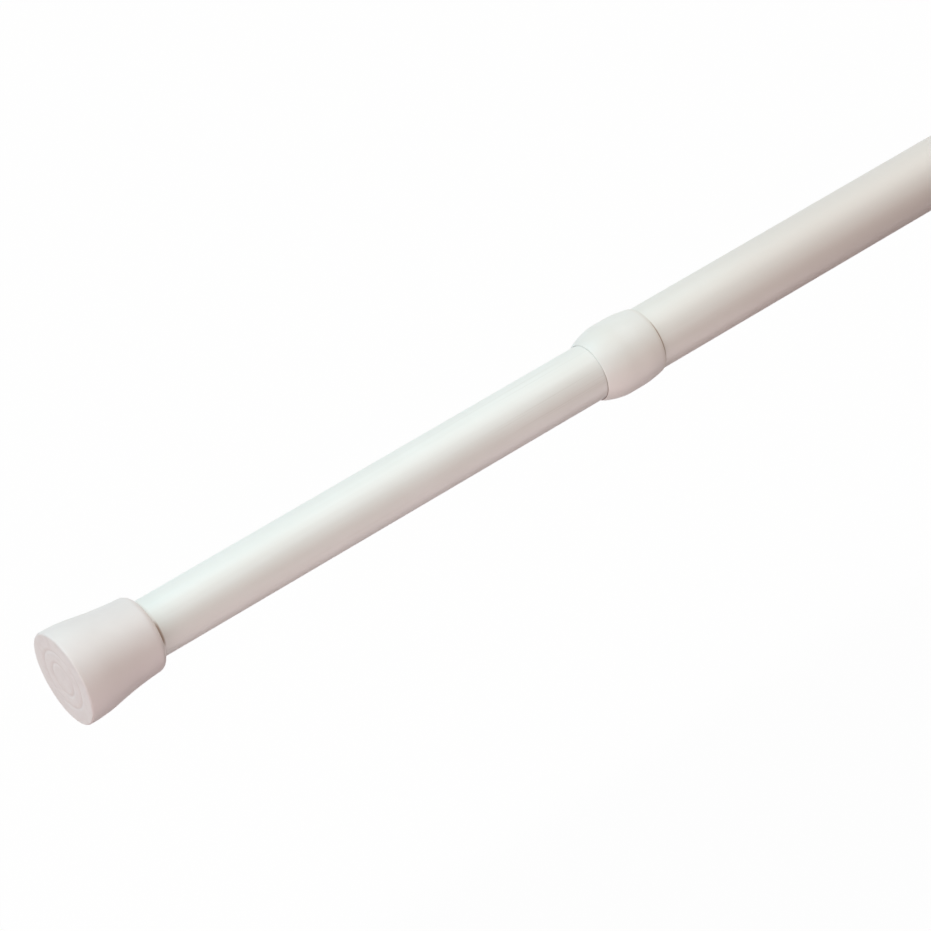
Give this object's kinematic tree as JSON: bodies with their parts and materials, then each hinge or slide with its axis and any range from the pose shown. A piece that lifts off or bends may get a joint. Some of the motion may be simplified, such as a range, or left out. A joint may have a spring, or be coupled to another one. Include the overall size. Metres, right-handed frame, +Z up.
{
  "type": "shower curtain rod",
  "caption": "Telescoping white tension rod for a shower curtain, with a twist lock inside, a moulded collar and soft flared feet that press on two walls.",
  "frame": {"origin": "centre of the outer foot's face, which meets one wall", "axes": "+X along the rod's axis, from the outer foot to the inner foot; +Z up as the rod is hung"},
  "size_m": [1.2836, 0.0396, 0.0396],
  "materials": {
    "tube_coat": "satin",
    "collar_plastic": "satin",
    "foot_rubber": "satin",
    "nylon": "satin",
    "zinc_steel": "satin",
    "spring_steel": "satin"
  },
  "bodies": {
    "outer": {"outer_tube": "tube_coat", "collar": "collar_plastic", "outer_foot": "foot_rubber", "outer_foot_washer": "zinc_steel"},
    "lock_sleeve": {"expander_sleeve": "nylon", "draw_nut": "zinc_steel"},
    "wedge": {"cone_ring": "nylon"},
    "plunger": {"plunger": "nylon", "lock_bolt": "zinc_steel", "thrust_washer": "zinc_steel", "stop_washer": "zinc_steel", "spring_washer": "zinc_steel"},
    "inner": {"inner_tube": "tube_coat", "inner_foot": "foot_rubber", "inner_foot_washer": "zinc_steel", "guide_bush": "nylon", "bush_pins": "zinc_steel", "spring_seat": "nylon", "seat_pin": "zinc_steel", "compression_spring": "spring_steel"}
  },
  "joints": [
    {"name": "length_slide", "type": "slide", "parent": "outer", "child": "lock_sleeve", "axis": [1, 0, 0], "range_m": [-0.166, 0.545]},
    {"name": "cone_travel", "type": "slide", "parent": "lock_sleeve", "child": "wedge", "axis": [1, 0, 0], "range_m": [0, 0.0015]},
    {"name": "twist_lock", "type": "hinge", "parent": "wedge", "child": "plunger", "pos_m": [0, 0, 0], "axis": [1, 0, 0], "range_deg": [0, 540]},
    {"name": "spring_stroke", "type": "slide", "parent": "plunger", "child": "inner", "axis": [1, 0, 0], "range_m": [-0.025, 0], "stiffness_N_per_m": 3030, "springref_m": 0.022, "deforming": ["compression_spring"]}
  ],
  "couplings": [
    {"joint": "twist_lock", "follows": "cone_travel", "rad_per_m": 6283.2}
  ]
}
